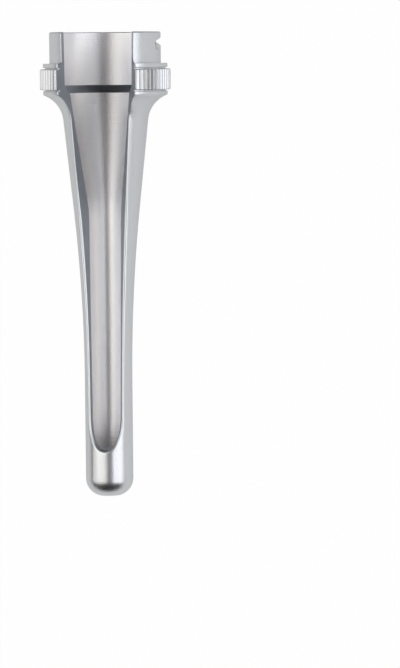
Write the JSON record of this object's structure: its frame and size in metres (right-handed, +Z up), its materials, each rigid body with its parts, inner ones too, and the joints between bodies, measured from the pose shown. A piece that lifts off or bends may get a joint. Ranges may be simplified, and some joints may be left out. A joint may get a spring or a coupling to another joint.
{
  "type": "ear speculum",
  "caption": "Slotted metal ear speculum: a trumpet-shaped tube with a bayonet collar, a knurled ring, a long open slot and a rounded tip.",
  "frame": {"origin": "centre of the bounding box, at its bottom: the surface that the speculum lies on", "axes": "+Z up, out of the long slot; +Y along the body from the round tip to the collar; +X towards the bayonet slot. The piece's own axis climbs 6.0 degrees towards the collar"},
  "size_m": [0.027, 0.0972, 0.0241],
  "materials": {
    "satin_metal": "satin"
  },
  "bodies": {
    "root": {"speculum": "satin_metal"}
  },
  "joints": []
}
